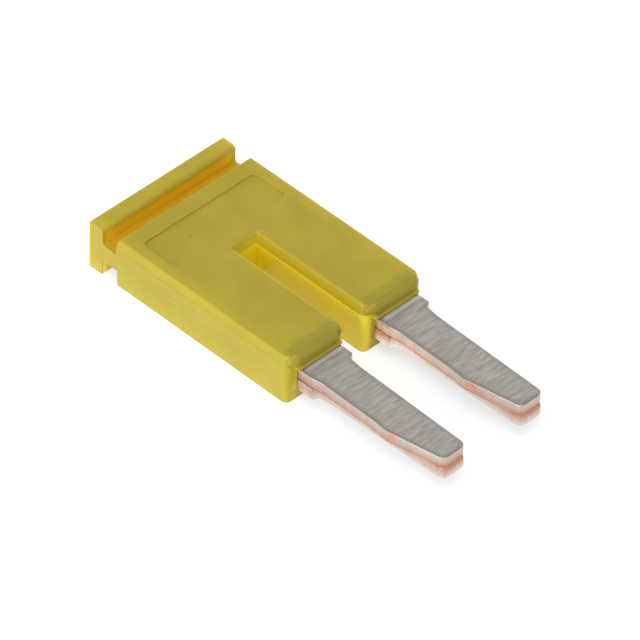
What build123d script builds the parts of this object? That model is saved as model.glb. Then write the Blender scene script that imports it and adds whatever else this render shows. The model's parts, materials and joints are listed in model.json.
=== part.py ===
from build123d import *
import os

# Two-pole plug-in shorting bar for terminal blocks, lying flat, in millimetres.
# +X runs along the blades towards their tips, +Y across the poles, +Z up.
# The origin is the middle of the footprint, on the surface that the housing lies on.

# Overall layout, from the grip head at the back to the blade tips
pole_pitch = 5.2
head_length = 0.91
groove_length = 0.97
body_length = 11.77
blade_reach = 9.27

# Moulded housing, measured where its two mould halves part
housing_width = 9.1
housing_height = 2.9
parting_height = 2.39
lower_draft = 2.0
upper_draft = 9.0
mould_step = 0.02
leg_corner_radius = 0.38
top_edge_radius = 0.16
back_corner_radius = 0.08

# Slot between the two legs
slot_width = 1.24
slot_length = 7.35
slot_upper_draft = 22.0

# Grip head, and the web that joins it to the body
head_width = 8.94
head_back_radius = 0.08
head_front_radius = 0.26
head_bottom_radius = 0.1
groove_radius = 0.12
web_height = 0.92
web_thickness = 1.0

# Shallow marking field on the top face
field_length = 2.32
field_width = 7.6
field_depth = 0.08
field_corner_radius = 0.35
field_setback = 1.05

# Rounded brow over the root of each blade, above a thin sloping lip and a collar
brow_reach = 0.2
brow_root = 0.6
brow_front_width = 2.76
brow_back_width = 3.5
brow_corner_radius = 0.25
brow_round_share = 0.5
lip_reach = 0.34
lip_width = 2.98
lip_edge = 0.06
lip_rise = 0.04
lip_corner_radius = 0.12
collar_reach = 0.12
collar_wall = 0.09
collar_corner_radius = 0.06

# Stamped contact leaf: a straight burnished band, then a slanted fracture
leaf_thickness = 0.7
burnish_depth = 0.42
fracture_angle = 10.0
rollover_radius = 0.05

# Outline of one finger of the leaf, along its length from the housing's front face
root_width = 2.66
tip_width = 1.52
tip_corner_radius = 0.38
shoulder_reach = 1.12
shoulder_run = 0.18
shoulder_drop = 0.32
shoulder_radius = 0.08
ramp_end = 2.1
ramp_drop = 0.09
waist_start = 1.0
waist_end = 1.75
waist_depth = 0.11
flank_relief = 0.06
bulge_start = 5.2
bulge_apex = 6.05
bulge_height = 0.07
blend_radius = 0.6

# Bridge bar that joins the two fingers inside the body
bridge_length = 2.7
bridge_wall = 0.75

# Places worked out from the sizes above
overall_length = head_length + groove_length + body_length + blade_reach
back_x = -overall_length / 2
body_back_x = back_x + head_length + groove_length
front_x = body_back_x + body_length
tip_x = front_x + blade_reach
slot_end_x = front_x - slot_length
bridge_front_x = slot_end_x - bridge_wall
bridge_back_x = bridge_front_x - bridge_length
finger_centres = [-pole_pitch / 2, pole_pitch / 2]
leaf_joint_z = housing_height / 2
blade_top_z = leaf_joint_z + leaf_thickness
upper_height = housing_height - parting_height
head_front_x = back_x + head_length
brow_x = front_x + brow_reach
lip_x = front_x + lip_reach
lip_root_z = blade_top_z + lip_edge + lip_rise
brow_height = housing_height - mould_step - blade_top_z


def at_x(shape, x):
    """The vertices of a sketch that lie at one distance along the object."""
    return shape.vertices().filter_by(lambda vertex: abs(vertex.X - x) < 1e-4)


def upright_edges(shape, x_from, x_to):
    """The steep edges of a part whose middle lies between two places along X."""
    return shape.edges().filter_by(
        lambda edge: abs(edge.tangent_at(0.5).Z) > 0.9 and x_from < edge.center().X < x_to
    )


def comb_outline(height):
    """A sketch of one leaf of the comb: two fingers on a bridge bar."""
    root, tip = root_width / 2, tip_width / 2
    foot = root - shoulder_drop
    flank = root - flank_relief
    with BuildSketch(Plane.XY.offset(height)) as outline:
        for centre in finger_centres:
            with BuildLine():
                Polyline(
                    (bridge_back_x, centre + root),
                    (front_x + shoulder_reach, centre + root),
                    (front_x + shoulder_reach + shoulder_run, centre + foot),
                    (front_x + ramp_end, centre + foot - ramp_drop),
                    (tip_x, centre + tip),
                    (tip_x, centre - tip),
                    (front_x + bulge_apex, centre - flank - bulge_height),
                    (front_x + bulge_start, centre - flank),
                    (front_x + waist_end, centre - root + waist_depth),
                    (front_x + waist_start, centre - root),
                    (bridge_back_x, centre - root),
                    close=True,
                )
            make_face()
        fillet(at_x(outline, tip_x), tip_corner_radius)
        fillet(at_x(outline, front_x + shoulder_reach), shoulder_radius)
        fillet(at_x(outline, front_x + shoulder_reach + shoulder_run), shoulder_radius)
        for reach in (bulge_apex, bulge_start, ramp_end, waist_end, waist_start):
            fillet(at_x(outline, front_x + reach), blend_radius)
        with Locations(((bridge_back_x + bridge_front_x) / 2, 0)):
            Rectangle(bridge_length, pole_pitch + root_width)
    return outline.sketch


def brow_outline(centre):
    """A sketch of the brow over one blade root, at the height of the blade's face."""
    with BuildSketch(Plane.XY.offset(blade_top_z)) as outline:
        with BuildLine():
            Polyline(
                (front_x - brow_root, centre + brow_back_width / 2),
                (brow_x, centre + brow_front_width / 2),
                (brow_x, centre - brow_front_width / 2),
                (front_x - brow_root, centre - brow_back_width / 2),
                close=True,
            )
        make_face()
        fillet(at_x(outline, brow_x), brow_corner_radius)
    return outline.sketch


# Upper comb, blanked from flat strip with its burnished face outwards
burnish_z = blade_top_z - burnish_depth
with BuildPart() as upper_contact_comb:
    extrude(comb_outline(burnish_z), amount=burnish_depth)
    extrude(comb_outline(burnish_z), amount=burnish_depth - leaf_thickness, taper=fracture_angle)
    fillet(upper_contact_comb.faces().sort_by(Axis.Z)[-1].edges(), rollover_radius)

# Lower comb: the same stamping, turned over so that the two fractures meet
with BuildPart() as lower_contact_comb:
    add(upper_contact_comb.part.rotate(Axis((0, 0, leaf_joint_z), (1, 0, 0)), 180))

# Housing, moulded in one piece around both combs
with BuildPart() as housing:
    # Upper mould half: body and slot, drafted strongly towards the top
    body_centre_x = (body_back_x + front_x) / 2
    with BuildSketch(Plane.XY.offset(parting_height)):
        with Locations((body_centre_x, 0)):
            Rectangle(body_length - 2 * mould_step, housing_width - 2 * mould_step)
    extrude(amount=upper_height, taper=upper_draft)
    with BuildSketch(Plane.XY.offset(parting_height)):
        with Locations((slot_end_x - mould_step + slot_length, 0)):
            Rectangle(slot_length * 2, slot_width + 2 * mould_step)
    extrude(amount=upper_height, taper=-slot_upper_draft, mode=Mode.SUBTRACT)
    fillet(upright_edges(housing, front_x - leg_corner_radius, front_x), leg_corner_radius)
    fillet(housing.faces().sort_by(Axis.Z)[-1].edges(), top_edge_radius)
    fillet(upright_edges(housing, body_back_x, body_back_x + leg_corner_radius), back_corner_radius)

    # Lower mould half: the same outline, a witness step larger and drafted towards the bottom
    with BuildSketch(Plane.XY.offset(parting_height)) as lower_outline:
        with Locations((body_centre_x, 0)):
            Rectangle(body_length, housing_width)
        with Locations((slot_end_x + slot_length, 0)):
            Rectangle(slot_length * 2, slot_width, mode=Mode.SUBTRACT)
        fillet(at_x(lower_outline, front_x), leg_corner_radius)
        fillet(at_x(lower_outline, body_back_x), back_corner_radius)
    extrude(amount=-parting_height, taper=lower_draft)

    # Marking field, a shallow rounded recess near the back
    with BuildSketch(Plane.XY.offset(housing_height)):
        with Locations((body_back_x + field_setback + field_length / 2, 0)):
            RectangleRounded(field_length, field_width, field_corner_radius)
    extrude(amount=-field_depth, mode=Mode.SUBTRACT)

    # Grip head on its web, behind the body
    with BuildSketch(Plane.XZ) as grip:
        with Locations((back_x + head_length / 2, housing_height / 2)):
            Rectangle(head_length, housing_height)
        fillet(grip.vertices().group_by(Axis.Y)[-1].sort_by(Axis.X)[0], head_back_radius)
        fillet(grip.vertices().group_by(Axis.Y)[-1].sort_by(Axis.X)[-1], head_front_radius)
        fillet(grip.vertices().group_by(Axis.Y)[0], head_bottom_radius)
        with Locations((back_x + head_length / 2, web_height)):
            Rectangle(
                head_length / 2 + groove_length + back_corner_radius,
                web_thickness,
                align=(Align.MIN, Align.MIN),
            )
        fillet(at_x(grip, head_front_x).sort_by(Axis.Y)[2], groove_radius)
    extrude(amount=head_width / 2, both=True)

    for centre in finger_centres:
        # Brow over the blade root, rounded down from the top face
        with BuildPart(mode=Mode.PRIVATE) as brow:
            extrude(brow_outline(centre), amount=brow_height)
            rounded = brow.faces().sort_by(Axis.Z)[-1].edges().filter_by(
                lambda edge: edge.center().X > front_x - brow_root + 1e-4
            )
            fillet(rounded, brow_height * brow_round_share)
        add(brow.part)

        # Sloping lip on the blade's face
        with BuildPart(mode=Mode.PRIVATE) as lip:
            with BuildSketch(Plane.XZ.offset(-centre)):
                with BuildLine():
                    Polyline(
                        (front_x - brow_reach, blade_top_z),
                        (lip_x, blade_top_z),
                        (lip_x, blade_top_z + lip_edge),
                        (brow_x, lip_root_z),
                        (front_x - brow_reach, lip_root_z),
                        close=True,
                    )
                make_face()
            extrude(amount=lip_width / 2, both=True)
            fillet(upright_edges(lip, brow_x, tip_x), lip_corner_radius)
        add(lip.part)

        # Collar round the blade's flanks
        with BuildPart(mode=Mode.PRIVATE) as collar:
            with Locations((front_x, centre, leaf_joint_z)):
                Box(2 * collar_reach, root_width + 2 * collar_wall, 2 * leaf_thickness + lip_edge)
            fillet(upright_edges(collar, front_x, tip_x), collar_corner_radius)
        add(collar.part)

    # Bed of the two combs
    add(upper_contact_comb.part, mode=Mode.SUBTRACT)
    add(lower_contact_comb.part, mode=Mode.SUBTRACT)

housing.part.label = "housing"
upper_contact_comb.part.label = "upper_contact_comb"
lower_contact_comb.part.label = "lower_contact_comb"

os.makedirs("parts", exist_ok=True)
export_step(housing.part, "parts/housing.step")
export_step(upper_contact_comb.part, "parts/upper_contact_comb.step")
export_step(lower_contact_comb.part, "parts/lower_contact_comb.step")
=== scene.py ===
import json
import math
import random

import bpy
from mathutils import Matrix, Vector

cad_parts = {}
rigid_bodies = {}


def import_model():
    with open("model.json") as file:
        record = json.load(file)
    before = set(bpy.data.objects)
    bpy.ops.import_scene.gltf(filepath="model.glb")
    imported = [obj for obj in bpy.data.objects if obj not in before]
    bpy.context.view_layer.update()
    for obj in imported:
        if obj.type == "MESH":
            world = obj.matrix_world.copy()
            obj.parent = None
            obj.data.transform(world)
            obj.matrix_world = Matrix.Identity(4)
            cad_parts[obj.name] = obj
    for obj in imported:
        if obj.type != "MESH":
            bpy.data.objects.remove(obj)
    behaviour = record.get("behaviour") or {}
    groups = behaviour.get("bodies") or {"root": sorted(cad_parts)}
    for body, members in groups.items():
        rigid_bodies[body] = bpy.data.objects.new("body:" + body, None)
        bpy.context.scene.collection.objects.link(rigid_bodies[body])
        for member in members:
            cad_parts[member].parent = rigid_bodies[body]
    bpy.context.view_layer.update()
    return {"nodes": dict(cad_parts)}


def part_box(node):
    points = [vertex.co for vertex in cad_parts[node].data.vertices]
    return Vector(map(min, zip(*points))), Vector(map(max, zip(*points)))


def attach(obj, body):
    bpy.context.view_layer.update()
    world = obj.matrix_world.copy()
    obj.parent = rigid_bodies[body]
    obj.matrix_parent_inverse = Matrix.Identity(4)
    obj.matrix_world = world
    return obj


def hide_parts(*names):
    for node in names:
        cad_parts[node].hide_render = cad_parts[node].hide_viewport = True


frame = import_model()

bl_info = {
    "name": "Two-pole shorting bar",
    "version": (1, 0, 0),
    "blender": (4, 5, 0),
    "location": "View3D > Sidebar > Shorting Bar",
    "description": "Moulded plug-in shorting bar with two tinned copper contact combs",
    "category": "Object",
}

MM = 0.001
HOUSING_LOW, HOUSING_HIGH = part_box("housing")
UPPER_LOW, UPPER_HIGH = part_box("upper_contact_comb")
LEAF_JOINT = UPPER_LOW.z / MM
LEAF_HEIGHT = (UPPER_HIGH.z - UPPER_LOW.z) / MM

# Lengths along the housing, in millimetres
HEAD_LENGTH = 0.91
GROOVE_LENGTH = 0.97
BODY_LENGTH = 11.77
SLOT_LENGTH = 7.35
BRIDGE_WALL = 0.75

# Places along the housing: groove behind the body, front face, end of the slot, edge of the lips
GROOVE_BACK_X = HOUSING_LOW.x / MM + HEAD_LENGTH
GROOVE_FRONT_X = GROOVE_BACK_X + GROOVE_LENGTH
FRONT_X = GROOVE_FRONT_X + BODY_LENGTH
SLOT_END_X = FRONT_X - SLOT_LENGTH
LIP_X = HOUSING_HIGH.x / MM

# Heights on the housing: underside of the web, and where the two mould halves part
WEB_HEIGHT = 0.92
PARTING_HEIGHT = 2.39

# Outline of one finger of the leaf, in millimetres from the housing's front face
TIP_X = UPPER_HIGH.x / MM
BRIDGE_BACK_X = UPPER_LOW.x / MM
BRIDGE_FRONT_X = SLOT_END_X - BRIDGE_WALL
POLE_PITCH = 5.2
TIP_CORNER_RADIUS = 0.38
SHOULDER_REACH = 1.12
SHOULDER_RUN = 0.18
SHOULDER_DROP = 0.32
SHOULDER_RADIUS = 0.08
RAMP_END = 2.1
RAMP_DROP = 0.09
WAIST_START = 1.0
WAIST_END = 1.75
WAIST_DEPTH = 0.11
FLANK_RELIEF = 0.06
BULGE_START = 5.2
BULGE_APEX = 6.05
BULGE_HEIGHT = 0.07
BLEND_RADIUS = 0.6
HIDDEN_RADIUS = 0.02
SMALLEST_RADIUS = 0.004

# Rolled rim of the leaf, the share of its raggedness that runs along the finger, and its random draw
ROLL_CROWN = 0.03
RAGGED_ALONG = 0.5
RAGGED_SEED = 7

# Rounded nose of the upper mould half over each blade, in millimetres
NOSE_ROOT = 0.9
NOSE_BACK_WIDTH = 3.3
NOSE_SETBACK = 0.2
NOSE_SIDE_WIDTH = 3.86
NOSE_SIDE_RADIUS = 0.38
NOSE_REACH = 0.215
NOSE_FRONT_WIDTH = 2.74
NOSE_FRONT_RADIUS = 0.5
NOSE_RADIUS = 0.37
NOSE_TOP = 2.885

# Foot of the nose: how far below the parting each ring lies, and how far it draws in
NOSE_FOOT = ((0.13, 0.13), (0.05, 0.03))

# Steps of the modelling: pieces of each arc, and millimetres between points on a straight
ARC_STEPS = 8
EDGE_STEP = 0.12

# Cleaning of a solid's mesh in millimetres and degrees, the angle from which its edges are rounded,
# and the angle up to which a surface is smooth
MERGE_DISTANCE = 0.0005
FLAT_ANGLE = 0.5
BEVEL_ANGLE = 50
SMOOTH_ANGLE = 40

# Camera, measured on the photograph: degrees, and metres from the point it looks at
CAMERA_AZIMUTH = 44.203
CAMERA_ELEVATION = 42.559
CAMERA_ROLL = 1.567
CAMERA_DISTANCE = 0.350
CAMERA_TARGET = Vector((0.000101, -0.000246, 0.00145))
FOCAL_PIXELS = 7319.6
IMAGE_PIXELS = 640
SENSOR_MM = 36.0

# Square soft lights: distance in metres, watts for a light one metre away, azimuth and elevation in
# degrees, side in metres, and colour
LIGHTS = (
    ("side_light", 0.5, 7.5, (-90.0, 13.0), 0.3, (0.95, 0.985, 1.25)),
    ("top_light", 0.8, 4.5, (-60.0, 72.0), 0.5, (1.0, 1.0, 1.0)),
    ("front_light", 0.6, 1.6, (-25.0, 20.0), 0.4, (1.0, 1.0, 1.0)),
    ("back_light", 0.6, 2.0, (170.0, 14.0), 0.25, (1.0, 1.0, 1.0)),
)


# Settings


def length_setting(name, description, default):
    """A length that a user may change, with its default in metres."""
    return bpy.props.FloatProperty(
        name=name,
        description=description,
        default=default,
        min=0.0,
        precision=6,
        subtype="DISTANCE",
        unit="LENGTH",
    )


def colour_setting(name, description, default):
    """A colour that a user may change."""
    return bpy.props.FloatVectorProperty(
        name=name,
        description=description,
        default=default,
        subtype="COLOR",
        size=3,
        min=0.0,
        max=1.0,
    )


def share_setting(name, description, default):
    """A share between nothing and one that a user may change."""
    return bpy.props.FloatProperty(
        name=name,
        description=description,
        default=default,
        min=0.0,
        max=1.0,
        subtype="FACTOR",
    )


def strength_setting(name, description, default):
    """A strength of light that a user may change."""
    return bpy.props.FloatProperty(name=name, description=description, default=default, min=0.0)


class HousingSettings(bpy.types.PropertyGroup):
    """What a user may change on the moulded housing."""

    edge_radius: length_setting("Edge radius", "Radius on the mould's sharp edges", 0.035 * MM)
    colour: colour_setting("Plastic", "Colour of the moulded plastic", (0.395, 0.31, 0.02))
    mottle: share_setting("Mottle", "How far the colour drifts over the moulding", 0.05)
    roughness: share_setting("Roughness", "Roughness of the moulded surface", 0.42)


class ContactSettings(bpy.types.PropertyGroup):
    """What a user may change on the stamped contact combs."""

    root_width: length_setting("Root width", "Width of a finger where it leaves the housing", 2.66 * MM)
    tip_width: length_setting("Tip width", "Width of a finger at its tip", 1.52 * MM)
    burnish_height: length_setting(
        "Burnish height", "Height of the straight, bright band of the sheared edge", 0.42 * MM
    )
    fracture_depth: length_setting(
        "Fracture depth", "How far the torn part of the sheared edge slants in", 0.049 * MM
    )
    roll_width: length_setting(
        "Rolled edge width", "Width of the rounding that the punch leaves around the face", 0.27 * MM
    )
    roll_depth: length_setting("Rolled edge depth", "How far the face's rim is drawn down", 0.03 * MM)
    tin_face: colour_setting("Tinned face", "Colour of the plated flat faces", (0.355, 0.335, 0.305))
    tin_edge: colour_setting(
        "Burnished edge", "Colour of the bright band on the sheared edges", (0.53, 0.45, 0.385)
    )
    copper: colour_setting(
        "Bare copper", "Colour of the fracture band on the sheared edges", (0.52, 0.30, 0.215)
    )


class StageSettings(bpy.types.PropertyGroup):
    """What a user may change on the stage."""

    floor_size: bpy.props.FloatProperty(
        name="Floor size",
        description="Side of the square floor",
        default=2.4,
        min=0.1,
        subtype="DISTANCE",
        unit="LENGTH",
    )
    floor_colour: colour_setting("Floor", "Colour of the floor", (0.88, 0.88, 0.87))
    side_light: strength_setting(
        "Side light", "Strength of the low soft lights on the long side, in front and behind", 1.0
    )
    top_light: strength_setting("Top light", "Strength of the soft light overhead", 1.0)
    surround: strength_setting("Surround", "Strength of the even light from all round", 0.5)


# Small tools


class Nodes:
    """Adds and joins the nodes of one material or world."""

    def __init__(self, tree):
        self.tree = tree
        self.tree.nodes.clear()

    def add(self, kind, **values):
        """A new node of one kind, with its properties set."""
        node = self.tree.nodes.new(kind)
        for key, value in values.items():
            setattr(node, key, value)
        return node

    def link(self, source, target):
        self.tree.links.new(source, target)

    def maths(self, operation, first, second=None):
        """One Math node; a number is set on the socket and anything else is linked."""
        node = self.add("ShaderNodeMath", operation=operation)
        for index, value in enumerate((first, second)):
            if value is None:
                continue
            if isinstance(value, (int, float)):
                node.inputs[index].default_value = value
            else:
                self.link(value, node.inputs[index])
        return node.outputs[0]

    def product(self, first, *others):
        """Numbers or sockets multiplied with each other, from left to right."""
        result = first
        for value in others:
            result = self.maths("MULTIPLY", result, value)
        return result

    def step(self, value, low, high, out_low=0.0, out_high=1.0):
        """A soft step between two values, from nothing up to one unless told otherwise."""
        node = self.add("ShaderNodeMapRange", interpolation_type="SMOOTHSTEP")
        self.link(value, node.inputs["Value"])
        node.inputs["From Min"].default_value = low
        node.inputs["From Max"].default_value = high
        node.inputs["To Min"].default_value = out_low
        node.inputs["To Max"].default_value = out_high
        return node.outputs[0]

    def fall(self, value, low, high):
        """A soft step from one down to nothing."""
        return self.step(value, low, high, 1.0, 0.0)

    def noise(self, vector, scale=1.0, detail=2.0, roughness=0.5):
        node = self.add("ShaderNodeTexNoise")
        self.link(vector, node.inputs["Vector"])
        node.inputs["Scale"].default_value = scale
        node.inputs["Detail"].default_value = detail
        node.inputs["Roughness"].default_value = roughness
        return node.outputs["Fac"]

    def scaled(self, vector, scale, turn=0.0):
        """A pattern's coordinates, turned about Z by an angle and scaled along each axis."""
        node = self.add("ShaderNodeMapping", vector_type="POINT")
        self.link(vector, node.inputs["Vector"])
        node.inputs["Rotation"].default_value = (0.0, 0.0, turn)
        node.inputs["Scale"].default_value = scale
        return node.outputs[0]

    def mix(self, factor, first, second):
        """A mix of two colours; a tuple is set on the socket and anything else is linked."""
        node = self.add("ShaderNodeMix", data_type="RGBA")
        self.link(factor, node.inputs[0])
        for socket, value in ((node.inputs[6], first), (node.inputs[7], second)):
            if isinstance(value, tuple):
                socket.default_value = (*value, 1.0)
            else:
                self.link(value, socket)
        return node.outputs[2]

    def times(self, colour, factor):
        """A linked colour multiplied by a linked number."""
        node = self.add("ShaderNodeVectorMath", operation="SCALE")
        self.link(colour, node.inputs[0])
        self.link(factor, node.inputs["Scale"])
        return node.outputs[0]

    def brighter(self, colour, share):
        """A linked colour made brighter by a linked share of itself."""
        return self.times(colour, self.maths("ADD", share, 1.0))


def new_material(name):
    material = bpy.data.materials.new(name)
    material.use_nodes = True
    return material, Nodes(material.node_tree)


def millimetres(nodes):
    """The piece's own coordinates in millimetres, as a vector and as X, Y and Z."""
    place = nodes.add("ShaderNodeTexCoord")
    scale = nodes.add("ShaderNodeVectorMath", operation="SCALE")
    nodes.link(place.outputs["Object"], scale.inputs[0])
    scale.inputs["Scale"].default_value = 1.0 / MM
    parts = nodes.add("ShaderNodeSeparateXYZ")
    nodes.link(scale.outputs[0], parts.inputs[0])
    return scale.outputs[0], parts.outputs[0], parts.outputs[1], parts.outputs[2]


def principled(nodes, roughness, metallic=0.0):
    shader = nodes.add("ShaderNodeBsdfPrincipled")
    shader.inputs["Roughness"].default_value = roughness
    shader.inputs["Metallic"].default_value = metallic
    output = nodes.add("ShaderNodeOutputMaterial")
    nodes.link(shader.outputs[0], output.inputs["Surface"])
    return shader


def bump(nodes, height, strength, distance, shader, normal=None):
    """A bump of a height in metres; further bumps are chained through normal."""
    node = nodes.add("ShaderNodeBump")
    node.inputs["Strength"].default_value = strength
    node.inputs["Distance"].default_value = distance
    nodes.link(height, node.inputs["Height"])
    if normal is not None:
        nodes.link(normal, node.inputs["Normal"])
    nodes.link(node.outputs[0], shader.inputs["Normal"])
    return node.outputs[0]


# Materials

# A soft step has a start and an end, in millimetres or in a pattern's own values. Some steps also say
# what they go from and to.

# Dark specks in the plastic: those that the photograph shows, in millimetres, and a few at random
SPECKS = ((-7.41, -1.65, 2.82), (-8.65, 1.57, 2.82), (1.8, -3.9, 2.88), (-8.19, -4.5, 0.54))
SPECK_EDGE = (0.03, 0.11)
RANDOM_SPECK_SCALE = 0.85
RANDOM_SPECK_EDGE = (0.04, 0.075)
RANDOM_SPECK_RARITY = 0.9
SPECK_STRENGTH = 0.4
SPECK_COLOUR = (0.12, 0.09, 0.01)

# Painted light, standing in for light through the side rims, the far rim, the foot, and the grip head's
# foot and front
SIDE_RIM = (3.5, 4.2, 0.95, 1.03)
FAR_RIM = (4.15, 4.45, 1.0, 1.15)
FOOT = (0.0, 1.3, 1.1, 1.0)
HEAD_FOOT = (0.2, 1.2, 0.08, 0.0)
HEAD_END = (GROOVE_BACK_X - 0.02, GROOVE_BACK_X + 0.02)
HEAD_GLOW = (GROOVE_BACK_X - 0.3, GROOVE_BACK_X, 1.08, 1.0)

# Painted light and shade in the slot with its rounded rims, and a painted highlight on the rim on its
# near side
SLOT_SIDE = (0.85, 1.3)
SLOT_BACK = (SLOT_END_X - 0.55, SLOT_END_X - 0.2)
SLOT_WALL = (SLOT_END_X - 0.02, SLOT_END_X + 0.02)
SLOT_TOP = (2.62, 2.92)
SLOT_PARTING = (PARTING_HEIGHT - 0.01, PARTING_HEIGHT + 0.01)
SLOT_MOUTH = (FRONT_X - 2.5, FRONT_X - 0.1)
END_WALL_COLOUR = (0.49, 0.4, 0.01)
UPPER_WALL_COLOUR = (0.44, 0.315, 0.002)
LOWER_WALL_LIGHT = (0.92, 0.745, 0.01)
MOUTH_LIGHT = (0.86, 0.7, 0.045)
RIM_HIGHLIGHT_Y = -0.9
RIM_HIGHLIGHT_WIDTH = (0.03, 0.1)
RIM_HIGHLIGHT_HEIGHT = (2.72, 2.8)
RIM_HIGHLIGHT_START = (SLOT_END_X - 0.1, SLOT_END_X + 0.2)
RIM_HIGHLIGHT_GAIN = 0.4

# Painted light in the groove behind the grip head, a glow with painted shade on its floor, and painted
# light on the underside of its web
GROOVE_TOP = (2.35, 2.86)
GROOVE_ENDS = (4.0, 4.52)
GROOVE_BACK = (GROOVE_BACK_X - 0.1, GROOVE_BACK_X + 0.02)
GROOVE_FRONT = (GROOVE_FRONT_X - 0.02, GROOVE_FRONT_X + 0.1)
GROOVE_FILLET = (1.94, 2.08)
GROOVE_FLOOR_COLOUR = (0.55, 0.315, 0.002)
GROOVE_WALL_GLOW = (0.83, 0.53, 0.002)
GROOVE_ROUGHNESS = 0.85
WEB_UNDERSIDE = (WEB_HEIGHT, WEB_HEIGHT + 0.03)
WEB_FRONT = (GROOVE_FRONT_X - 0.1, GROOVE_FRONT_X)
WEB_BACK = (GROOVE_BACK_X - 0.03, GROOVE_BACK_X - 0.002)
WEB_ENDS = (4.4, 4.44)
WEB_GLOW = (1.0, 0.85, 0.1)

# Painted light and shade on the legs' front corners, the collars and lips, the front faces, and the ends
# and creases of the noses
CORNER_START = (FRONT_X - 0.45, FRONT_X - 0.1)
CORNER_HEIGHT = (0.1, 1.5)
CORNER_SHARE = (2.0, 3.5, -0.07, 0.12)
COLLAR_START = (FRONT_X + 0.02, FRONT_X + 0.04)
COLLAR_SHADE = (2.1, 2.16, 0.2, 0.0)
LIP_START = (FRONT_X + 0.2, FRONT_X + 0.23)
LIP_SHADE = (2.26, 2.3, 0.16, 0.0)
FACE_START = (FRONT_X - 0.12, FRONT_X - 0.04)
FACE_END = (FRONT_X + 0.005, FRONT_X + 0.015)
FACE_SHARE = (PARTING_HEIGHT - 0.05, PARTING_HEIGHT, 0.32, 0.0)
FACE_WIDTH = (1.45, 1.72)
NOSE_HEIGHT = (PARTING_HEIGHT, PARTING_HEIGHT + 0.06)
NOSE_END = (1.2, 1.45)
NOSE_END_SHADE = (FRONT_X - 0.08, FRONT_X + 0.02, 0.0, -0.24)
CREASE_SIDE = (4.15, 4.3)
CREASE_SHARE = (FRONT_X - 0.35, FRONT_X - 0.2, 0.0, 0.15)

# Grain and skin of the plastic; the depths are in millimetres
DRIFT_SCALE = 0.45
GRAIN_SCALE = 9.0
PATCH_SCALE = 1.4
PATTERN_SPREAD = (0.3, 0.7)
PATTERN_MIDDLE = 0.5
GLOSS_SPREAD = 0.05
PLASTIC_SPECULAR = 0.3
PLASTIC_BUMP = 0.35
GRAIN_DEPTH = 0.006
PATCH_DEPTH = 0.03
SCATTER_SHARE = 0.3
SCATTER_REACH = (1.0, 0.7, 0.08)
SCATTER_DEPTH = 0.7


def tinted(colour, factors):
    """A colour with its channels multiplied by three factors."""
    return tuple(channel * factor for channel, factor in zip(colour, factors))


def shaded(colour, factor):
    """A colour with all its channels multiplied by one factor."""
    return tinted(colour, (factor,) * 3)


def drifting_yellow(nodes, settings, place):
    """The plastic's own colour, which drifts slowly between a darker and a lighter yellow."""
    dark = shaded(settings.colour, 1.0 - settings.mottle)
    light = shaded(settings.colour, 1.0 + settings.mottle)
    drift = nodes.noise(place, DRIFT_SCALE, detail=3.0, roughness=0.55)
    return nodes.mix(nodes.step(drift, *PATTERN_SPREAD), dark, light)


def dark_specks(nodes, place):
    """The share of speck at each place."""
    cells = nodes.add("ShaderNodeTexVoronoi")
    nodes.link(place, cells.inputs["Vector"])
    cells.inputs["Scale"].default_value = RANDOM_SPECK_SCALE
    near = nodes.fall(cells.outputs["Distance"], *RANDOM_SPECK_EDGE)
    chance = nodes.add("ShaderNodeSeparateColor")
    nodes.link(cells.outputs["Color"], chance.inputs[0])
    speck = nodes.product(near, nodes.maths("GREATER_THAN", chance.outputs[0], RANDOM_SPECK_RARITY))
    for centre in SPECKS:
        away = nodes.add("ShaderNodeVectorMath", operation="DISTANCE")
        nodes.link(place, away.inputs[0])
        away.inputs[1].default_value = centre
        speck = nodes.maths("MAXIMUM", speck, nodes.fall(away.outputs["Value"], *SPECK_EDGE))
    return nodes.product(speck, SPECK_STRENGTH)


def rim_light(nodes, along, across, up):
    """Painted light: the rims and the parts towards the table are made lighter, as light soaks through
    them and less through the thick middle.
    """
    rim = nodes.product(
        nodes.step(nodes.maths("ABSOLUTE", across), *SIDE_RIM),
        nodes.step(across, *FAR_RIM),
    )
    head_foot = nodes.product(nodes.fall(along, *HEAD_END), nodes.step(up, *HEAD_FOOT))
    head = nodes.maths("ADD", head_foot, nodes.step(along, *HEAD_GLOW))
    return nodes.product(rim, head, nodes.step(up, *FOOT))


def painted_slot_light(nodes, colour, along, across, up):
    """Painted light and shade in the slot: lower walls painted bright up to where the mould halves part,
    golden upper walls, and a painted highlight on the near rim.
    """
    beside = nodes.fall(nodes.maths("ABSOLUTE", across), *SLOT_SIDE)
    slot = nodes.product(beside, nodes.step(along, *SLOT_BACK))
    upper = nodes.product(slot, nodes.fall(up, *SLOT_TOP))
    upper_wall = nodes.mix(nodes.step(along, *SLOT_WALL), END_WALL_COLOUR, UPPER_WALL_COLOUR)
    colour = nodes.mix(upper, colour, upper_wall)
    # Painted light on the lower walls, as from the table and through the plastic
    lower = nodes.product(slot, nodes.fall(up, *SLOT_PARTING))
    lower_wall = nodes.mix(nodes.step(along, *SLOT_MOUTH), LOWER_WALL_LIGHT, MOUTH_LIGHT)
    colour = nodes.mix(lower, colour, lower_wall)
    # Painted highlight on the rounded rim on the near side
    from_rim = nodes.maths("ABSOLUTE", nodes.maths("SUBTRACT", across, RIM_HIGHLIGHT_Y))
    rim_highlight = nodes.product(
        nodes.fall(from_rim, *RIM_HIGHLIGHT_WIDTH),
        nodes.step(up, *RIM_HIGHLIGHT_HEIGHT),
        nodes.step(along, *RIM_HIGHLIGHT_START),
        RIM_HIGHLIGHT_GAIN,
    )
    return nodes.brighter(colour, rim_highlight)


def groove_mask(nodes, along, across, up):
    """The walls of the groove behind the grip head, fading out towards its open ends."""
    inside = nodes.fall(nodes.maths("ABSOLUTE", across), *GROOVE_ENDS)
    between = nodes.product(nodes.step(along, *GROOVE_BACK), nodes.fall(along, *GROOVE_FRONT))
    return nodes.product(between, nodes.product(inside, nodes.fall(up, *GROOVE_TOP)))


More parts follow.
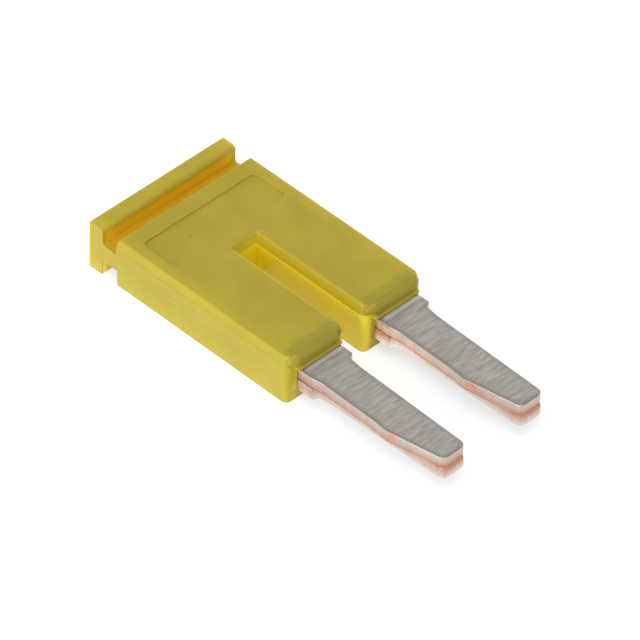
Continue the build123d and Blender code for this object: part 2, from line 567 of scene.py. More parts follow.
def painted_groove_light(nodes, colour, groove, along, across, up):
    """Painted light: a deep orange glow in the groove with painted shade on its floor, and bright yellow
    under its web in place of its shadow.
    """
    # Painted glow on the groove's walls and fillet, darker as painted shade on its floor
    wall = nodes.mix(nodes.step(up, *GROOVE_FILLET), GROOVE_FLOOR_COLOUR, GROOVE_WALL_GLOW)
    colour = nodes.mix(groove, colour, wall)
    # Painted light under the web, where its shadow falls
    under_web = nodes.product(
        nodes.fall(up, *WEB_UNDERSIDE),
        nodes.fall(along, *WEB_FRONT),
        nodes.step(along, *WEB_BACK),
        nodes.fall(nodes.maths("ABSOLUTE", across), *WEB_ENDS),
    )
    return nodes.mix(under_web, colour, WEB_GLOW)


def painted_leg_light_and_shade(nodes, colour, along, across, up):
    """Painted light and shade on the front of the legs, on the collars and lips and round the noses."""
    outwards = nodes.maths("ABSOLUTE", across)
    corner = nodes.product(
        nodes.step(along, *CORNER_START),
        nodes.fall(up, *CORNER_HEIGHT),
        nodes.step(outwards, *CORNER_SHARE),
    )
    colour = nodes.brighter(colour, corner)
    collar = nodes.product(nodes.step(along, *COLLAR_START), nodes.step(up, *COLLAR_SHADE))
    lip = nodes.product(nodes.step(along, *LIP_START), nodes.step(up, *LIP_SHADE))
    colour = nodes.times(colour, nodes.maths("SUBTRACT", 1.0, nodes.maths("MAXIMUM", collar, lip)))

    # The front faces are lit by the table, and the ends of the noses turn away from the light
    from_blade = nodes.maths("ABSOLUTE", nodes.maths("SUBTRACT", outwards, POLE_PITCH / 2))
    face = nodes.product(
        nodes.step(along, *FACE_START),
        nodes.fall(along, *FACE_END),
        nodes.step(up, *FACE_SHARE),
        nodes.fall(from_blade, *FACE_WIDTH),
    )
    end = nodes.product(nodes.step(from_blade, *NOSE_END), nodes.step(along, *NOSE_END_SHADE))
    crease = nodes.product(nodes.step(outwards, *CREASE_SIDE), nodes.step(along, *CREASE_SHARE))
    nose = nodes.product(nodes.maths("ADD", end, crease), nodes.step(up, *NOSE_HEIGHT))
    return nodes.brighter(colour, nodes.maths("ADD", face, nose))


def moulded_plastic(settings):
    """Yellow moulded plastic that lets some light through, with fine grain and a few dark specks."""
    material, nodes = new_material("moulded_yellow_plastic")
    shader = principled(nodes, settings.roughness)
    place, along, across, up = millimetres(nodes)

    colour = drifting_yellow(nodes, settings, place)
    colour = nodes.mix(dark_specks(nodes, place), colour, SPECK_COLOUR)
    # Painted light and shade: through the rims, in the slot and the groove, and on the legs
    colour = nodes.times(colour, rim_light(nodes, along, across, up))
    colour = painted_slot_light(nodes, colour, along, across, up)
    groove = groove_mask(nodes, along, across, up)
    colour = painted_groove_light(nodes, colour, groove, along, across, up)
    colour = painted_leg_light_and_shade(nodes, colour, along, across, up)
    nodes.link(colour, shader.inputs["Base Color"])

    grain = nodes.noise(place, GRAIN_SCALE, detail=3.0, roughness=0.6)
    patches = nodes.noise(place, PATCH_SCALE)
    glossy = settings.roughness - GLOSS_SPREAD
    matt = settings.roughness + GLOSS_SPREAD
    roughness = nodes.step(patches, *PATTERN_SPREAD, glossy, matt)
    roughness = nodes.maths("MAXIMUM", roughness, nodes.product(groove, GROOVE_ROUGHNESS))
    nodes.link(roughness, shader.inputs["Roughness"])
    shader.inputs["Specular IOR Level"].default_value = PLASTIC_SPECULAR
    fine = bump(nodes, grain, PLASTIC_BUMP, GRAIN_DEPTH * MM, shader)
    bump(nodes, patches, PLASTIC_BUMP, PATCH_DEPTH * MM, shader, fine)

    shader.inputs["Subsurface Weight"].default_value = SCATTER_SHARE
    shader.inputs["Subsurface Radius"].default_value = SCATTER_REACH
    shader.inputs["Subsurface Scale"].default_value = SCATTER_DEPTH * MM
    return material


# Lines across the blade's face, as a scale along, across and up, and their slant in degrees
LINE_SLANT = -9.0
FINE_LINES = (14.0, 0.9, 1.0)
COARSE_LINES = (4.5, 0.7, 1.0)
SCRATCH_LINES = (8.0, 0.8, 1.0)
FINE_SHARE = 0.65
COARSE_SHARE = 0.35
LINE_SPREAD = (0.36, 0.64)
LINE_DARK = 0.78
LINE_LIGHT = 1.18
BRIGHT_SCRATCH = (0.66, 0.74, 0.0, 0.55)
BRIGHT_SCRATCH_GAIN = 1.5
DARK_SCRATCH = (0.26, 0.34, 0.5, 0.0)
DARK_SCRATCH_GAIN = 0.55
CLOUD_SCALE = 0.9
CLOUD_SPREAD = (0.45, 0.8, 0.0, 0.5)
CLOUD_TINT = (1.04, 0.98, 0.9)

# A painted highlight in a strip along the lip, a dark line of painted shade where the lip touches the
# face, and painted shade on the rolled rim
LIP_HIGHLIGHT = (LIP_X + 0.24, LIP_X + 0.31)
LIP_HIGHLIGHT_SHARE = 0.85
LIP_HIGHLIGHT_TINT = (1.75, 1.85, 2.2)
LIP_LINE = (LIP_X + 0.02, LIP_X + 0.06)
LIP_LINE_SHARE = 0.7
LIP_LINE_GAIN = 0.35
RIM_GAIN = 0.6
RIM_SIDE = (0.0, 0.08, 1.0, 0.35)

# Tones of the sheared edge, with painted light on the lower leaf and the far blade and painted shade
# along the joint of the two leaves; the heights are in millimetres from that joint
DRAG_LINES = (5.0, 5.0, 0.8)
DRAG_SPREAD = (0.3, 0.7, 0.94, 1.06)
RAGGED_SCALE = (0.9, 0.9, 0.9)
RAGGED_HEIGHT = 0.5
TIP_TONE = (TIP_X - 2.6, TIP_X - 1.4, 1.0, 1.03)
FAR_BLADE = (0.0, 0.5)
FAR_BLADE_LIGHT = (FRONT_X + 0.5, FRONT_X + 6.5, 0.38, 0.0)
LOWER_LEAF = (LEAF_JOINT - 0.02, LEAF_JOINT + 0.02)
LOWER_LEAF_LIGHT = 1.22
BLUSH_BAND = (0.28, 0.62, 0.85, 0.0)
COPPER_BAND = (0.1, 0.36, 0.8, 0.0)
FRACTURE_BAND = (0.2, 0.36)
JOINT_LINE = (0.02, 0.08, 0.75, 0.0)
JOINT_LINE_FADE = (FRONT_X + 1.5, FRONT_X + 4.5, 1.0, 0.35)
JOINT_LINE_GAIN = 0.3

# Bare copper behind each contact bulge and round the tips
BULGE_SIDE = (-0.08, -0.03)
PATCH_TEAR = 0.6
PATCH_START = (8.22, 8.42)
PATCH_END = (8.65, 9.0)
PATCH_SHARE = 0.85
PATCH_TINT = (1.2, 1.0, 0.95)
TIP_START = (TIP_X - 0.9, TIP_X - 0.4)
TIP_HEIGHT = (0.1, 0.3, 0.75, 0.0)
TIP_TINT = (0.9, 0.75, 0.68)

# Slope from which a surface counts as face, and the surfaces of face and edge; depths in millimetres
FACE_SLOPE = (0.72, 0.9)
FACE_ROUGHNESS = (0.3, 0.7, 0.36, 0.48)
EDGE_ROUGHNESS = (0.0, 1.0, 0.42, 0.52)
LINE_BUMP = 0.6
LINE_DEPTH = 0.01
DRAG_BUMP = 0.35
DRAG_DEPTH = 0.02


def brushed_face(nodes, settings, place, along, lines, scratches):
    """Tinned face with fine lines and scratches, a painted highlight along the moulded lip, and painted
    shade where the lip touches it.
    """
    face = tuple(settings.tin_face)
    colour = nodes.mix(nodes.step(lines, *LINE_SPREAD), shaded(face, LINE_DARK), shaded(face, LINE_LIGHT))
    cloud = nodes.noise(place, CLOUD_SCALE)
    colour = nodes.mix(nodes.step(cloud, *CLOUD_SPREAD), colour, tinted(face, CLOUD_TINT))
    colour = nodes.mix(nodes.step(scratches, *BRIGHT_SCRATCH), colour, shaded(face, BRIGHT_SCRATCH_GAIN))
    colour = nodes.mix(nodes.step(scratches, *DARK_SCRATCH), colour, shaded(face, DARK_SCRATCH_GAIN))
    # Painted highlight in a strip along the lip
    strip = nodes.product(nodes.fall(along, *LIP_HIGHLIGHT), LIP_HIGHLIGHT_SHARE)
    colour = nodes.mix(strip, colour, tinted(face, LIP_HIGHLIGHT_TINT))
    # Painted shade in a dark line where the lip touches the face
    line = nodes.product(nodes.fall(along, *LIP_LINE), LIP_LINE_SHARE)
    return nodes.mix(line, colour, shaded(face, LIP_LINE_GAIN))


def bare_copper(nodes, colour, copper, along, drag, height, bulge_side):
    """The strip's own copper shows on a short patch behind each bulge and round the tips."""
    tear = nodes.product(nodes.maths("SUBTRACT", drag, PATTERN_MIDDLE), PATCH_TEAR)
    torn_along = nodes.maths("ADD", along, tear)
    patch = nodes.product(
        nodes.step(torn_along, *PATCH_START),
        nodes.fall(bulge_side, *BULGE_SIDE),
        nodes.fall(torn_along, *PATCH_END),
        PATCH_SHARE,
    )
    colour = nodes.mix(patch, colour, tinted(copper, PATCH_TINT))
    tips = nodes.product(nodes.step(along, *TIP_START), nodes.step(height, *TIP_HEIGHT))
    return nodes.mix(tips, colour, tinted(copper, TIP_TINT))


def sheared_edge(nodes, settings, along, across, up, drag, border, sideways):
    """Bright burnished band outside, coppery fracture towards the joint of the two leaves."""
    edge = tuple(settings.tin_edge)
    copper = tuple(settings.copper)
    blush = tuple(0.5 * (e + c) for e, c in zip(edge, copper))
    over_joint = nodes.maths("SUBTRACT", up, LEAF_JOINT)
    height = nodes.maths("ABSOLUTE", over_joint)

    # Painted light: the lower leaf's edge is lighter, as if lit from the table below
    colour = nodes.mix(nodes.fall(up, *LOWER_LEAF), edge, shaded(edge, LOWER_LEAF_LIGHT))
    colour = nodes.mix(nodes.step(border, *BLUSH_BAND), colour, blush)
    colour = nodes.mix(nodes.step(border, *COPPER_BAND), colour, copper)
    colour = bare_copper(nodes, colour, copper, along, drag, height, nodes.product(sideways, over_joint))
    # Painted shade in the crease along the joint of the two leaves, fading further along the blade
    joint_line = nodes.product(nodes.step(height, *JOINT_LINE), nodes.step(along, *JOINT_LINE_FADE))
    colour = nodes.mix(joint_line, colour, shaded(copper, JOINT_LINE_GAIN))

    tone = nodes.product(nodes.step(drag, *DRAG_SPREAD), nodes.step(along, *TIP_TONE))
    # Painted light on the far blade's edges, strongest near its root where the near leg and blade shade
    # it
    far_blade = nodes.product(nodes.step(across, *FAR_BLADE), nodes.step(along, *FAR_BLADE_LIGHT))
    return nodes.times(colour, nodes.product(tone, nodes.maths("ADD", far_blade, 1.0)))


def stamped_contact(settings):
    """Tin-plated copper leaf: brushed faces, and sheared edges with a bare copper fracture band."""
    material, nodes = new_material("tinned_copper_strip")
    shader = principled(nodes, roughness=0.4, metallic=1.0)
    place, along, across, up = millimetres(nodes)
    geometry = nodes.add("ShaderNodeNewGeometry")
    normal = nodes.add("ShaderNodeSeparateXYZ")
    nodes.link(geometry.outputs["True Normal"], normal.inputs[0])
    sideways, upwards = normal.outputs[1], normal.outputs[2]
    facing = nodes.step(nodes.maths("ABSOLUTE", upwards), *FACE_SLOPE)

    # The lines are left by the rolling of the strip, and the drag marks by the punch
    slant = math.radians(LINE_SLANT)
    fine = nodes.noise(nodes.scaled(place, FINE_LINES, slant), detail=4.0, roughness=0.7)
    coarse = nodes.noise(nodes.scaled(place, COARSE_LINES, slant))
    scratches = nodes.noise(nodes.scaled(place, SCRATCH_LINES, slant), detail=1.0, roughness=0.4)
    lines = nodes.maths("ADD", nodes.product(fine, FINE_SHARE), nodes.product(coarse, COARSE_SHARE))
    drag = nodes.noise(nodes.scaled(place, DRAG_LINES), detail=3.0, roughness=0.6)
    ragged = nodes.noise(nodes.scaled(place, RAGGED_SCALE), detail=3.0, roughness=0.6)
    height = nodes.maths("ABSOLUTE", nodes.maths("SUBTRACT", up, LEAF_JOINT))
    wander = nodes.product(nodes.maths("SUBTRACT", ragged, PATTERN_MIDDLE), RAGGED_HEIGHT)
    border = nodes.maths("ADD", height, wander)

    face_colour = brushed_face(nodes, settings, place, along, lines, scratches)
    edge_colour = sheared_edge(nodes, settings, along, across, up, drag, border, sideways)
    colour = nodes.mix(facing, edge_colour, face_colour)
    # Painted shade on the rolled rim, weaker where the rim faces the far side
    rim = nodes.add("ShaderNodeAttribute", attribute_name="rim")
    rim_share = nodes.product(rim.outputs["Fac"], nodes.step(sideways, *RIM_SIDE))
    colour = nodes.mix(rim_share, colour, shaded(settings.tin_face, RIM_GAIN))
    nodes.link(colour, shader.inputs["Base Color"])

    roughness = nodes.add("ShaderNodeMix", data_type="FLOAT")
    nodes.link(facing, roughness.inputs[0])
    nodes.link(nodes.step(nodes.fall(border, *FRACTURE_BAND), *EDGE_ROUGHNESS), roughness.inputs[2])
    nodes.link(nodes.step(fine, *FACE_ROUGHNESS), roughness.inputs[3])
    nodes.link(roughness.outputs[0], shader.inputs["Roughness"])

    face_bump = bump(nodes, nodes.product(lines, facing), LINE_BUMP, LINE_DEPTH * MM, shader)
    torn = nodes.product(drag, nodes.maths("SUBTRACT", 1.0, facing))
    bump(nodes, torn, DRAG_BUMP, DRAG_DEPTH * MM, shader, face_bump)
    return material


# How the camera and how reflections see the floor: share of its colour, and light added to it
FLOOR_SEEN = 0.5
FLOOR_SEEN_GLOW = 0.62
FLOOR_MIRRORED = 0.12
FLOOR_MIRRORED_GLOW = 1.02
WHITE = (1.0, 1.0, 1.0, 1.0)


def stage_floor(settings):
    """Pale floor. Rays from the camera and in reflections see it lit up to white."""
    material, nodes = new_material("pale_floor")
    path = nodes.add("ShaderNodeLightPath")
    direct = nodes.maths("MAXIMUM", path.outputs["Is Camera Ray"], path.outputs["Is Transmission Ray"])
    mirrored = path.outputs["Is Glossy Ray"]
    pale = tuple(settings.floor_colour)
    colour = nodes.mix(direct, pale, shaded(pale, FLOOR_SEEN))
    colour = nodes.mix(mirrored, colour, shaded(pale, FLOOR_MIRRORED))
    diffuse = nodes.add("ShaderNodeBsdfDiffuse")
    nodes.link(colour, diffuse.inputs["Color"])
    glow = nodes.add("ShaderNodeEmission")
    glow.inputs["Color"].default_value = WHITE
    direct_glow = nodes.product(direct, FLOOR_SEEN_GLOW)
    mirrored_glow = nodes.product(mirrored, FLOOR_MIRRORED_GLOW)
    nodes.link(nodes.maths("MAXIMUM", direct_glow, mirrored_glow), glow.inputs["Strength"])
    both = nodes.add("ShaderNodeAddShader")
    nodes.link(diffuse.outputs[0], both.inputs[0])
    nodes.link(glow.outputs[0], both.inputs[1])
    output = nodes.add("ShaderNodeOutputMaterial")
    nodes.link(both.outputs[0], output.inputs["Surface"])
    return material


# Modelling


def deselect_all():
    for item in bpy.context.view_layer.objects:
        item.select_set(False)


def make_active(item):
    deselect_all()
    item.select_set(True)
    bpy.context.view_layer.objects.active = item


def working_copy(node, name):
    """A copy of a solid's mesh, its corners merged and its flat faces made whole."""
    source = frame["nodes"][node]
    piece = bpy.data.objects.new(name, source.data.copy())
    piece.data.name = name
    bpy.context.scene.collection.objects.link(piece)
    make_active(piece)
    bpy.ops.object.mode_set(mode="EDIT")
    bpy.ops.mesh.select_all(action="SELECT")
    bpy.ops.mesh.remove_doubles(threshold=MERGE_DISTANCE * MM)
    bpy.ops.mesh.normals_make_consistent(inside=False)
    bpy.ops.mesh.dissolve_limited(angle_limit=math.radians(FLAT_ANGLE))
    bpy.ops.object.mode_set(mode="OBJECT")
    return piece


def apply_modifier(piece, kind, name, **values):
    """Adds a modifier with its properties set and applies it."""
    modifier = piece.modifiers.new(name, kind)
    for key, value in values.items():
        setattr(modifier, key, value)
    make_active(piece)
    bpy.ops.object.modifier_apply(modifier=name)


def finish_piece(piece, node, material):
    """Shades the piece, gives it its material and puts it in the node's place."""
    make_active(piece)
    bpy.ops.object.shade_smooth_by_angle(angle=math.radians(SMOOTH_ANGLE))
    apply_modifier(piece, "WEIGHTED_NORMAL", "weighted", keep_sharp=True, weight=60)
    piece.data.materials.clear()
    piece.data.materials.append(material)
    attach(piece, "root")
    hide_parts(node)


def leaf_corners(settings):
    """Corners of the stamped leaf's outline, anticlockwise, each with its radius, in millimetres."""
    root = settings.root_width / MM / 2
    tip = settings.tip_width / MM / 2
    foot = root - SHOULDER_DROP
    flank = root - FLANK_RELIEF
    first, second = -POLE_PITCH / 2, POLE_PITCH / 2

    def finger(centre):
        return [
            (FRONT_X + WAIST_START, centre - root, BLEND_RADIUS),
            (FRONT_X + WAIST_END, centre - root + WAIST_DEPTH, BLEND_RADIUS),
            (FRONT_X + BULGE_START, centre - flank, BLEND_RADIUS),
            (FRONT_X + BULGE_APEX, centre - flank - BULGE_HEIGHT, BLEND_RADIUS),
            (TIP_X, centre - tip, TIP_CORNER_RADIUS),
            (TIP_X, centre + tip, TIP_CORNER_RADIUS),
            (FRONT_X + RAMP_END, centre + foot - RAMP_DROP, BLEND_RADIUS),
            (FRONT_X + SHOULDER_REACH + SHOULDER_RUN, centre + foot, SHOULDER_RADIUS),
            (FRONT_X + SHOULDER_REACH, centre + root, SHOULDER_RADIUS),
        ]

    return [
        (BRIDGE_BACK_X, first - root, HIDDEN_RADIUS),
        *finger(first),
        (BRIDGE_FRONT_X, first + root, HIDDEN_RADIUS),
        (BRIDGE_FRONT_X, second - root, HIDDEN_RADIUS),
        *finger(second),
        (BRIDGE_BACK_X, second + root, HIDDEN_RADIUS),
    ]


def ring_points(corners, inset):
    """The outline drawn in by an inset, with the same count of points for every inset."""
    count = len(corners)
    places = [Vector(corner[:2]) for corner in corners]
    directions = [(places[(i + 1) % count] - places[i]).normalized() for i in range(count)]
    inward = [Vector((-d.y, d.x)) for d in directions]
    points = []
    for i in range(count):
        before, after = directions[i - 1], directions[i]
        turn = math.atan2(before.x * after.y - before.y * after.x, before.dot(after))
        corner = places[i] + inset * (inward[i - 1] + inward[i]) / (1.0 + inward[i - 1].dot(inward[i]))
        radius = max(corners[i][2] - math.copysign(inset, turn), SMALLEST_RADIUS)
        reach = radius * math.tan(abs(turn) / 2)
        centre = corner - before * reach + inward[i - 1] * math.copysign(radius, turn)
        start = corner - before * reach - centre
        for step in range(ARC_STEPS + 1):
            angle = turn * step / ARC_STEPS
            spoke = Matrix.Rotation(angle, 2) @ start
            points.append(centre + spoke)
        span = (places[(i + 1) % count] - places[i]).length
        visible = max(places[i].x, places[(i + 1) % count].x) > FRONT_X
        points.append(max(int(span / EDGE_STEP), 1) if visible else 1)
    return fill_straights(points)


def fill_straights(points):
    """Replaces each count in a list of points with that many steps along the straight there."""
    filled = []
    for index, item in enumerate(points):
        if not isinstance(item, int):
            filled.append(item)
            continue
        start, end = points[index - 1], points[(index + 1) % len(points)]
        for step in range(1, item):
            filled.append(start.lerp(end, step / item))
    return filled


def grow_rings(name, corners, rings):
    """A closed form grown ring by ring, each drawn in by an inset; in millimetres."""
    chance = random.Random(RAGGED_SEED)
    count = len(ring_points(corners, 0.0))
    deselect_all()
    bpy.ops.mesh.primitive_circle_add(vertices=count, radius=MM, fill_type="NOTHING")
    piece = bpy.context.active_object
    piece.name = name
    piece.data.name = name
    mesh = piece.data
    rim_shade = {}
    latest = list(range(count))
    for level, (height, inset, ragged, shade) in enumerate(rings):
        if level:
            latest = extrude_ring(piece, latest)
        for index, point in zip(latest, ring_points(corners, inset)):
            place = Vector((point.x, point.y, height)) * MM
            if ragged:
                along = chance.uniform(-ragged, ragged) * MM * RAGGED_ALONG
                place.x = min(place.x + along, TIP_X * MM)
                place.y += chance.uniform(-ragged, ragged) * MM
            mesh.vertices[index].co = place
            rim_shade[index] = shade
    close_ring(piece, latest)
    close_ring(piece, list(range(count)))
    # Each point's share of the rim's painted shade, read by the contact's material
    rim = mesh.attributes.new("rim", "FLOAT", "POINT")
    for index, shade in rim_shade.items():
        rim.data[index].value = shade
    make_active(piece)
    bpy.ops.object.mode_set(mode="EDIT")
    bpy.ops.mesh.select_all(action="SELECT")
    bpy.ops.mesh.normals_make_consistent(inside=False)
    bpy.ops.object.mode_set(mode="OBJECT")
    return piece


def stamped_leaf(name, settings):
    """A leaf grown from the joint face up its sheared edge and over its rolled rim."""
    burnish = LEAF_JOINT + LEAF_HEIGHT - settings.burnish_height / MM
    depth = settings.fracture_depth / MM
    width = settings.roll_width / MM
    roll = settings.roll_depth / MM
    torn = burnish - LEAF_JOINT
    top = LEAF_JOINT + LEAF_HEIGHT
    # Each ring has a height, an inset, its raggedness, and its share of the rim's painted shade
    rings = [
        (LEAF_JOINT, depth, 0.012, 0.0),
        (LEAF_JOINT + torn * 0.3, depth * 0.75, 0.014, 0.0),
        (LEAF_JOINT + torn * 0.6, depth * 0.42, 0.014, 0.0),
        (LEAF_JOINT + torn * 0.85, depth * 0.12, 0.008, 0.0),
        (burnish, 0.0, 0.003, 0.0),
        (top - roll - ROLL_CROWN, 0.0, 0.0, 0.0),
        (top - roll - ROLL_CROWN * 0.45, ROLL_CROWN * 0.16, 0.0, 0.45),
        (top - roll - ROLL_CROWN * 0.1, ROLL_CROWN * 0.55, 0.0, 0.85),
        (top - roll * 0.8, ROLL_CROWN + width * 0.12, 0.0, 0.95),
        (top - roll * 0.45, ROLL_CROWN + width * 0.35, 0.0, 0.7),
        (top - roll * 0.15, ROLL_CROWN + width * 0.65, 0.0, 0.3),
        (top, ROLL_CROWN + width, 0.0, 0.0),
    ]
    return grow_rings(name, leaf_corners(settings), rings)


def leg_nose(centre):
    """The upper mould half's rounded nose over one blade, from corner to corner of the leg."""
    corners = [
        (FRONT_X - NOSE_ROOT, centre - NOSE_BACK_WIDTH / 2, HIDDEN_RADIUS),
        (FRONT_X - NOSE_SETBACK, centre - NOSE_SIDE_WIDTH / 2, NOSE_SIDE_RADIUS),
        (FRONT_X + NOSE_REACH, centre - NOSE_FRONT_WIDTH / 2, NOSE_FRONT_RADIUS),
        (FRONT_X + NOSE_REACH, centre + NOSE_FRONT_WIDTH / 2, NOSE_FRONT_RADIUS),
        (FRONT_X - NOSE_SETBACK, centre + NOSE_SIDE_WIDTH / 2, NOSE_SIDE_RADIUS),
        (FRONT_X - NOSE_ROOT, centre + NOSE_BACK_WIDTH / 2, HIDDEN_RADIUS),
    ]
    base = NOSE_TOP - NOSE_RADIUS
    rings = [(PARTING_HEIGHT - drop, inset, 0.0, 0.0) for drop, inset in NOSE_FOOT]
    rings += [(PARTING_HEIGHT, 0.0, 0.0, 0.0), (base, 0.0, 0.0, 0.0)]
    for step in range(1, ARC_STEPS + 1):
        angle = math.radians(90.0) * step / ARC_STEPS
        height = base + NOSE_RADIUS * math.sin(angle)
        rings.append((height, NOSE_RADIUS * (1.0 - math.cos(angle)), 0.0, 0.0))
    return grow_rings("leg_nose", corners, rings)


def turn_over(piece):
    """Turns a leaf over about the long axis of the joint face."""
    make_active(piece)
    bpy.ops.object.mode_set(mode="EDIT")
    bpy.ops.mesh.select_all(action="SELECT")
    bpy.ops.transform.rotate(
        value=math.pi,
        orient_axis="X",
        orient_type="GLOBAL",
        center_override=(0.0, 0.0, LEAF_JOINT * MM),
    )
    bpy.ops.object.mode_set(mode="OBJECT")


def select_vertices(mesh, chosen):
    """Selects vertices by number, and the edges between them, and nothing else."""
    chosen = set(chosen)
    for vertex in mesh.vertices:
        vertex.select = vertex.index in chosen
    for edge in mesh.edges:
        edge.select = edge.vertices[0] in chosen and edge.vertices[1] in chosen
    for polygon in mesh.polygons:
        polygon.select = False


def extrude_ring(piece, ring):
    """Extrudes an open ring in place and returns the new ring's numbers in the old one's order."""
    mesh = piece.data
    make_active(piece)
    select_vertices(mesh, ring)
    bpy.ops.object.mode_set(mode="EDIT")
    bpy.ops.mesh.select_mode(type="EDGE")
    bpy.ops.mesh.extrude_edges_move()
    bpy.ops.object.mode_set(mode="OBJECT")
    partner = {}
    old = set(ring)
    for edge in mesh.edges:
        first, second = edge.vertices
        if (first in old) != (second in old):
            known, new = (first, second) if first in old else (second, first)
            if mesh.vertices[new].select:
                partner[known] = new
    return [partner[index] for index in ring]


def close_ring(piece, ring):
    """Fills a ring with one flat face."""
    make_active(piece)
    select_vertices(piece.data, ring)
    bpy.ops.object.mode_set(mode="EDIT")
    bpy.ops.mesh.select_mode(type="EDGE")
    bpy.ops.mesh.edge_face_add()
    bpy.ops.object.mode_set(mode="OBJECT")


# Operators


class OBJECT_OT_shorting_bar_housing(bpy.types.Operator):
    """Moulded housing with its grip head, slot, marking field and blade lips"""

    bl_idname = "object.shorting_bar_housing"
    bl_label = "Moulded housing"
    bl_options = {"REGISTER", "UNDO"}

    def execute(self, context):
        settings = context.scene.shorting_bar_housing
        piece = working_copy("housing", "moulded_housing")
        apply_modifier(
            piece,
            "BEVEL",
            "edges",
            width=settings.edge_radius,
            segments=3,
            limit_method="ANGLE",
            angle_limit=math.radians(BEVEL_ANGLE),
            harden_normals=False,
            use_clamp_overlap=True,
        )
        noses = [leg_nose(centre) for centre in (-POLE_PITCH / 2, POLE_PITCH / 2)]
        make_active(piece)
        for nose in noses:
            nose.select_set(True)
        bpy.ops.object.join()
        finish_piece(piece, "housing", moulded_plastic(settings))
        return {"FINISHED"}


class OBJECT_OT_shorting_bar_contacts(bpy.types.Operator):
    """Upper and lower contact combs, stamped from tinned copper strip"""

    bl_idname = "object.shorting_bar_contacts"
    bl_label = "Contact combs"
    bl_options = {"REGISTER", "UNDO"}

    def execute(self, context):
        settings = context.scene.shorting_bar_contacts
        material = stamped_contact(settings)
        upper = stamped_leaf("upper_stamped_comb", settings)
        lower = upper.copy()
        lower.data = upper.data.copy()
        lower.name = "lower_stamped_comb"
        context.scene.collection.objects.link(lower)
        turn_over(lower)
        finish_piece(upper, "upper_contact_comb", material)
        finish_piece(lower, "lower_contact_comb", material)
        return {"FINISHED"}


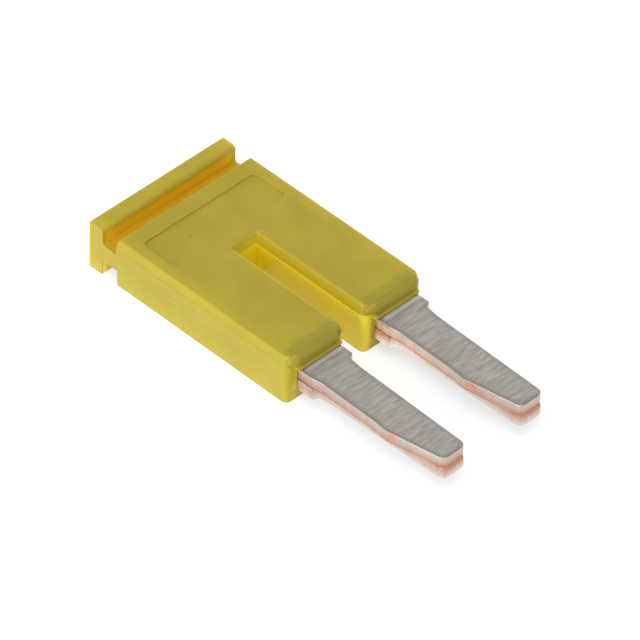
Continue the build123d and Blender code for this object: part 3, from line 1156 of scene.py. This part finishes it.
class OBJECT_OT_shorting_bar_stage(bpy.types.Operator):
    """Floor, soft lights, surround and camera"""

    bl_idname = "object.shorting_bar_stage"
    bl_label = "Stage"
    bl_options = {"REGISTER", "UNDO"}

    def execute(self, context):
        settings = context.scene.shorting_bar_stage
        self.add_floor(settings)
        self.add_surround(context, settings)
        for name, distance, power, direction, size, colour in LIGHTS:
            share = settings.top_light if name == "top_light" else settings.side_light
            self.add_light(name, distance, power * share, direction, size, colour)
        self.add_camera(context)
        context.scene.view_settings.view_transform = "Standard"
        return {"FINISHED"}

    def add_floor(self, settings):
        deselect_all()
        bpy.ops.mesh.primitive_plane_add(size=settings.floor_size, location=(0.0, 0.0, 0.0))
        floor = bpy.context.active_object
        floor.name = "floor"
        floor.data.materials.append(stage_floor(settings))

    def add_surround(self, context, settings):
        world = bpy.data.worlds.new("surround")
        world.use_nodes = True
        nodes = Nodes(world.node_tree)
        path = nodes.add("ShaderNodeLightPath")
        seen = nodes.maths("MAXIMUM", path.outputs["Is Camera Ray"], path.outputs["Is Transmission Ray"])
        seen = nodes.maths("MAXIMUM", seen, path.outputs["Is Glossy Ray"])
        background = nodes.add("ShaderNodeBackground")
        background.inputs["Color"].default_value = WHITE
        strength = nodes.step(seen, 0.0, 1.0, settings.surround, 1.0)
        nodes.link(strength, background.inputs["Strength"])
        output = nodes.add("ShaderNodeOutputWorld")
        nodes.link(background.outputs[0], output.inputs["Surface"])
        context.scene.world = world

    def add_light(self, name, distance, power, direction, size, colour):
        """A square soft light that looks at the object from an azimuth and an elevation."""
        azimuth, elevation = (math.radians(value) for value in direction)
        towards = Vector(
            (
                math.cos(azimuth) * math.cos(elevation),
                math.sin(azimuth) * math.cos(elevation),
                math.sin(elevation),
            )
        )
        lamp = bpy.data.lights.new(name, "AREA")
        lamp.shape = "SQUARE"
        lamp.size = size
        lamp.energy = power * distance**2
        lamp.color = colour
        item = bpy.data.objects.new(name, lamp)
        item.location = towards * distance
        item.rotation_euler = towards.to_track_quat("Z", "Y").to_euler()
        bpy.context.scene.collection.objects.link(item)

    def add_camera(self, context):
        azimuth = math.radians(CAMERA_AZIMUTH)
        elevation = math.radians(CAMERA_ELEVATION)
        roll = math.radians(CAMERA_ROLL)
        back = Vector(
            (
                math.sin(azimuth) * math.cos(elevation),
                -math.cos(azimuth) * math.cos(elevation),
                math.sin(elevation),
            )
        )
        level = Vector((math.cos(azimuth), math.sin(azimuth), 0.0))
        upright = back.cross(level)
        right = math.cos(roll) * level + math.sin(roll) * upright
        above = -math.sin(roll) * level + math.cos(roll) * upright
        lens = bpy.data.cameras.new("camera")
        lens.sensor_fit = "HORIZONTAL"
        lens.sensor_width = SENSOR_MM
        lens.lens = FOCAL_PIXELS * SENSOR_MM / IMAGE_PIXELS
        lens.clip_start = 0.01
        lens.clip_end = 20.0
        camera = bpy.data.objects.new("camera", lens)
        turned = Matrix((right, above, back)).transposed().to_4x4()
        camera.matrix_world = Matrix.Translation(CAMERA_TARGET + CAMERA_DISTANCE * back) @ turned
        context.scene.collection.objects.link(camera)
        context.scene.camera = camera


class VIEW3D_PT_shorting_bar(bpy.types.Panel):
    """Buttons and settings of the shorting bar"""

    bl_label = "Shorting bar"
    bl_idname = "VIEW3D_PT_shorting_bar"
    bl_space_type = "VIEW_3D"
    bl_region_type = "UI"
    bl_category = "Shorting Bar"

    def draw(self, context):
        for operator, settings in (
            (OBJECT_OT_shorting_bar_housing, context.scene.shorting_bar_housing),
            (OBJECT_OT_shorting_bar_contacts, context.scene.shorting_bar_contacts),
            (OBJECT_OT_shorting_bar_stage, context.scene.shorting_bar_stage),
        ):
            box = self.layout.box()
            for name in settings.__annotations__:
                box.prop(settings, name)
            box.operator(operator.bl_idname)


CLASSES = (
    HousingSettings,
    ContactSettings,
    StageSettings,
    OBJECT_OT_shorting_bar_housing,
    OBJECT_OT_shorting_bar_contacts,
    OBJECT_OT_shorting_bar_stage,
    VIEW3D_PT_shorting_bar,
)


def register():
    for item in CLASSES:
        bpy.utils.register_class(item)
    bpy.types.Scene.shorting_bar_housing = bpy.props.PointerProperty(type=HousingSettings)
    bpy.types.Scene.shorting_bar_contacts = bpy.props.PointerProperty(type=ContactSettings)
    bpy.types.Scene.shorting_bar_stage = bpy.props.PointerProperty(type=StageSettings)


def unregister():
    del bpy.types.Scene.shorting_bar_stage
    del bpy.types.Scene.shorting_bar_contacts
    del bpy.types.Scene.shorting_bar_housing
    for item in reversed(CLASSES):
        bpy.utils.unregister_class(item)


def main():
    register()
    bpy.ops.object.shorting_bar_housing()
    bpy.ops.object.shorting_bar_contacts()
    bpy.ops.object.shorting_bar_stage()


if __name__ == "__main__":
    main()
